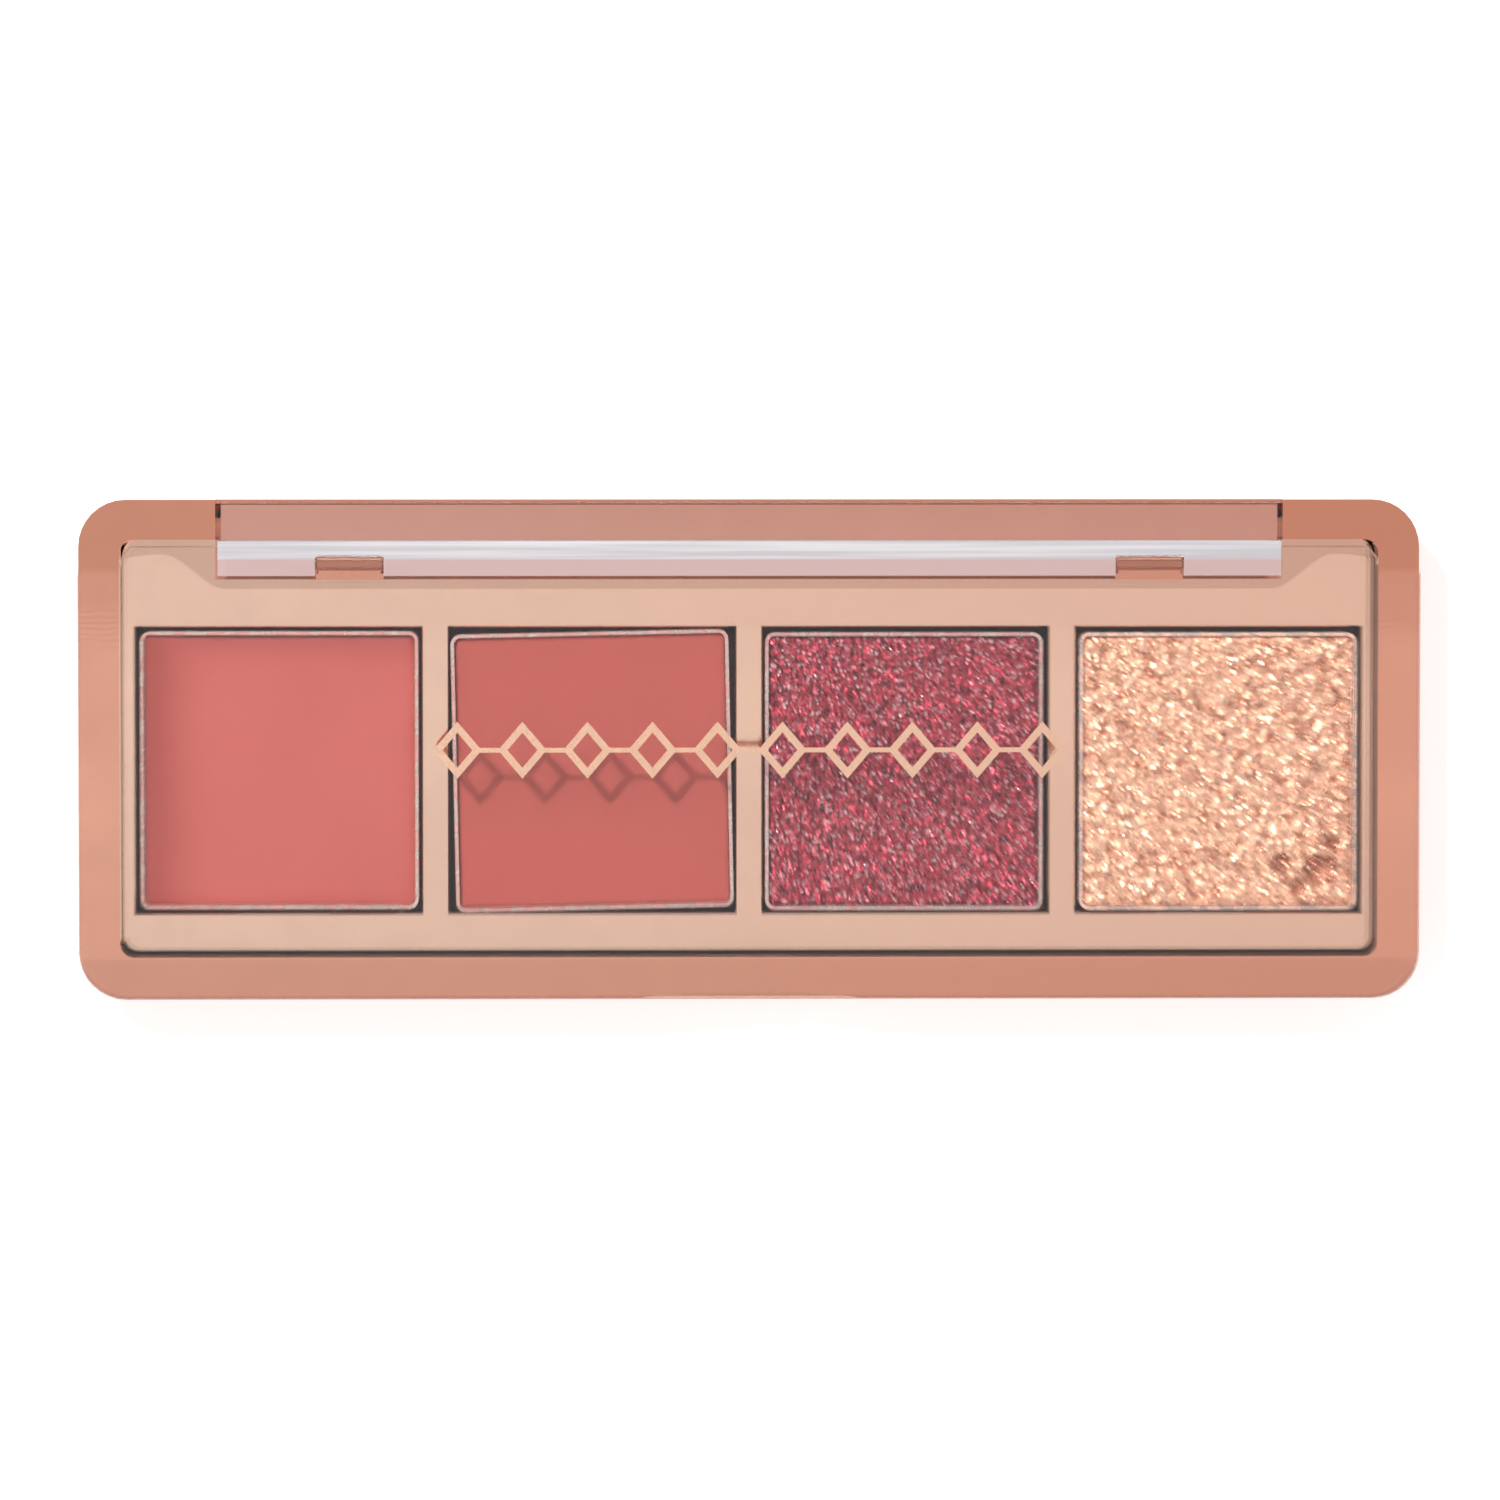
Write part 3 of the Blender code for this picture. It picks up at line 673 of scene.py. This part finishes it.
def scatter_flakes(name, node, height, count, sizes, lean, finish, seed):
    """Loose bright flakes lying in a powder's surface, each a thin leaning plate."""
    draw = random.Random(seed)
    low, high = (Vector(corner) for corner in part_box(node))
    half = (high.x - low.x) / 2 / MM
    centre = (low + high) / 2
    shape = bmesh.new()
    for _ in range(count):
        x = draw.uniform(-half + FLAKE_MARGIN, half - FLAKE_MARGIN)
        y = draw.uniform(-half + FLAKE_MARGIN, half - FLAKE_MARGIN)
        size = draw.uniform(*sizes)
        ceiling = high.z - size * MM * 0.5 * math.sin(lean) - FLAKE_SINK
        z = min(high.z + height(x, y, half) * MM, ceiling)
        turn = Matrix.Rotation(draw.uniform(0.0, math.tau), 4, "Z")
        tip_x = Matrix.Rotation(draw.uniform(-lean, lean), 4, "X")
        tip_y = Matrix.Rotation(draw.uniform(-lean, lean), 4, "Y")
        place = Matrix.Translation((centre.x + x * MM, centre.y + y * MM, z)) @ turn @ (tip_x @ tip_y)
        bmesh.ops.create_cone(shape, cap_ends=True, segments=FLAKE_CORNERS, radius1=size * MM / 2,
                              radius2=size * MM / 2 * FLAKE_TAPER, depth=FLAKE_THICK, matrix=place)
    piece = add_piece(name, shape, finish)
    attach(piece, "base")


def paint_case():
    paint("base_shell", metallised("rose_gold", ROSE_GOLD, 0.0016, 0.0019, 0.0, 0.03, painted_shade_walls))
    paint("tray_insert", metallised("champagne", CHAMPAGNE, 0.0010, 0.0, -0.0056, 0.03, painted_shade_wells))
    paint("tab_band", metallised("tab_film", FILM, 0.0030, 0.0, 0.0, 0.08, lambda surface: 0.0))
    paint("lid_window", clear_plastic())
    paint("lid_ornament", foil())
    paint("base_label", paper_label())
    pan_finish = plain_metal("pan_metal", PAN_METAL, 0.2, (0.3, 3.0, 3.0), dusted=True)
    glue_finish = glue()
    for index in range(1, 5):
        paint(f"pan_{index}", pan_finish)
        paint(f"pan_glue_{index}", glue_finish)
    pin_finish = plain_metal("pin_steel", COPPER, 0.2, (0.2, 6.0, 6.0))
    paint("hinge_pin_left", pin_finish)
    paint("hinge_pin_right", pin_finish)


def make_cakes():
    cake("cream_cake", "powder_cream", 90, cream_height, cream_powder())
    cake("matte_cake", "powder_matte", 150, matte_height, matte_powder())
    shimmer = sparkle_powder("powder_shimmer", SHIMMER, SHIMMER_GRAIN_AND_SHADE, SHIMMER_GLINT, 6.0, 0.8,
                             (2.6, 0.9, 1.0), (4.38, 4.47))
    cake("shimmer_cake", "powder_shimmer", 200, shimmer_height, shimmer)
    glitter = sparkle_powder("powder_glitter", GLITTER, GLITTER_GRAIN_AND_SHADE, GLITTER_GLINT, 4.6, 0.42,
                             (0.7, 0.7, 1.0), (4.28, 4.45))
    cake("glitter_cake", "powder_glitter", 210, glitter_height, glitter)
    scatter_flakes("shimmer_flakes", "powder_shimmer", shimmer_height, 1500, (0.05, 0.12), math.radians(24),
                   flake_metal("shimmer_flake", SHIMMER_GLINT, 0.25), 11)
    scatter_flakes("glitter_flakes", "powder_glitter", glitter_height, 1300, (0.08, 0.24), math.radians(22),
                   flake_metal("glitter_flake", GLITTER_FLAKE, 0.3), 12)


def add_floor():
    bpy.ops.mesh.primitive_plane_add(size=6.0)
    floor = bpy.context.object
    floor.name = "floor"
    surface = Nodes("floor")
    cloud = surface.noise(0.004, 2.0).outputs[0]
    surface.set(colour=surface.blend(cloud, *FLOOR_TONES), roughness=0.8, specular=0.1)
    surface.shader.inputs["Emission Color"].default_value = (*WHITE, 1.0)
    surface.shader.inputs["Emission Strength"].default_value = FLOOR_GLOW
    floor.data.materials.append(surface.material)


def add_sky():
    """Pale studio: a bright ceiling card that ends in a crisp edge just behind the zenith."""
    world = bpy.data.worlds.new("studio")
    bpy.context.scene.world = world
    world.use_nodes = True
    tree = world.node_tree
    background = tree.nodes["Background"]
    direction = tree.nodes.new("ShaderNodeTexCoord")
    split = tree.nodes.new("ShaderNodeSeparateXYZ")
    tree.links.new(direction.outputs["Generated"], split.inputs[0])
    height = tree.nodes.new("ShaderNodeMath")
    height.operation = "MAXIMUM"
    height.inputs[1].default_value = 0.05
    tree.links.new(split.outputs["Z"], height.inputs[0])
    slope = tree.nodes.new("ShaderNodeMath")
    slope.operation = "DIVIDE"
    tree.links.new(split.outputs["Y"], slope.inputs[0])
    tree.links.new(height.outputs[0], slope.inputs[1])
    along = tree.nodes.new("ShaderNodeMapRange")
    along.inputs["From Min"].default_value = SKY_RANGE[0]
    along.inputs["From Max"].default_value = SKY_RANGE[1]
    tree.links.new(slope.outputs[0], along.inputs["Value"])
    colours = tree.nodes.new("ShaderNodeValToRGB")
    ramp = colours.color_ramp
    span = SKY_RANGE[1] - SKY_RANGE[0]
    while len(ramp.elements) < len(SKY_STOPS):
        ramp.elements.new(0.5)
    for element, (place, level) in zip(ramp.elements, SKY_STOPS):
        element.position = (place - SKY_RANGE[0]) / span
        tint = DIM_TINT if level < DIM_BELOW else WHITE
        element.color = (*(level * part for part in tint), 1.0)
    tree.links.new(along.outputs[0], colours.inputs[0])
    tree.links.new(colours.outputs[0], background.inputs["Color"])
    background.inputs["Strength"].default_value = 1.0


def add_key_light():
    light = bpy.data.lights.new("key", "AREA")
    light.size = KEY_SIZE
    light.energy = KEY_POWER
    lamp = bpy.data.objects.new("key", light)
    towards = Vector(KEY_SHIFT).normalized()
    lamp.location = towards * KEY_DISTANCE
    lamp.rotation_euler = towards.to_track_quat("Z", "Y").to_euler()
    bpy.context.scene.collection.objects.link(lamp)


def add_camera():
    data = bpy.data.cameras.new("camera")
    camera = bpy.data.objects.new("camera", data)
    bpy.context.scene.collection.objects.link(camera)
    low, high = (Vector(corner) for corner in CAD_BOX)
    target = Vector(((low.x + high.x) / 2, (low.y + high.y) / 2, high.z))
    camera.location = CAMERA_PLACE
    away = Vector(CAMERA_PLACE) - target
    back = away.normalized()
    right = Vector((0.0, 1.0, 0.0)).cross(back).normalized()
    camera.rotation_euler = Matrix((right, back.cross(right), back)).transposed().to_euler()
    data.sensor_width = SENSOR
    data.lens = SENSOR * away.length / FRAME_WIDTH
    data.clip_start = 0.01
    bpy.context.scene.camera = camera


add_camera()
add_floor()
add_sky()
add_key_light()
paint_case()
make_cakes()
bpy.context.scene.view_settings.view_transform = "Standard"
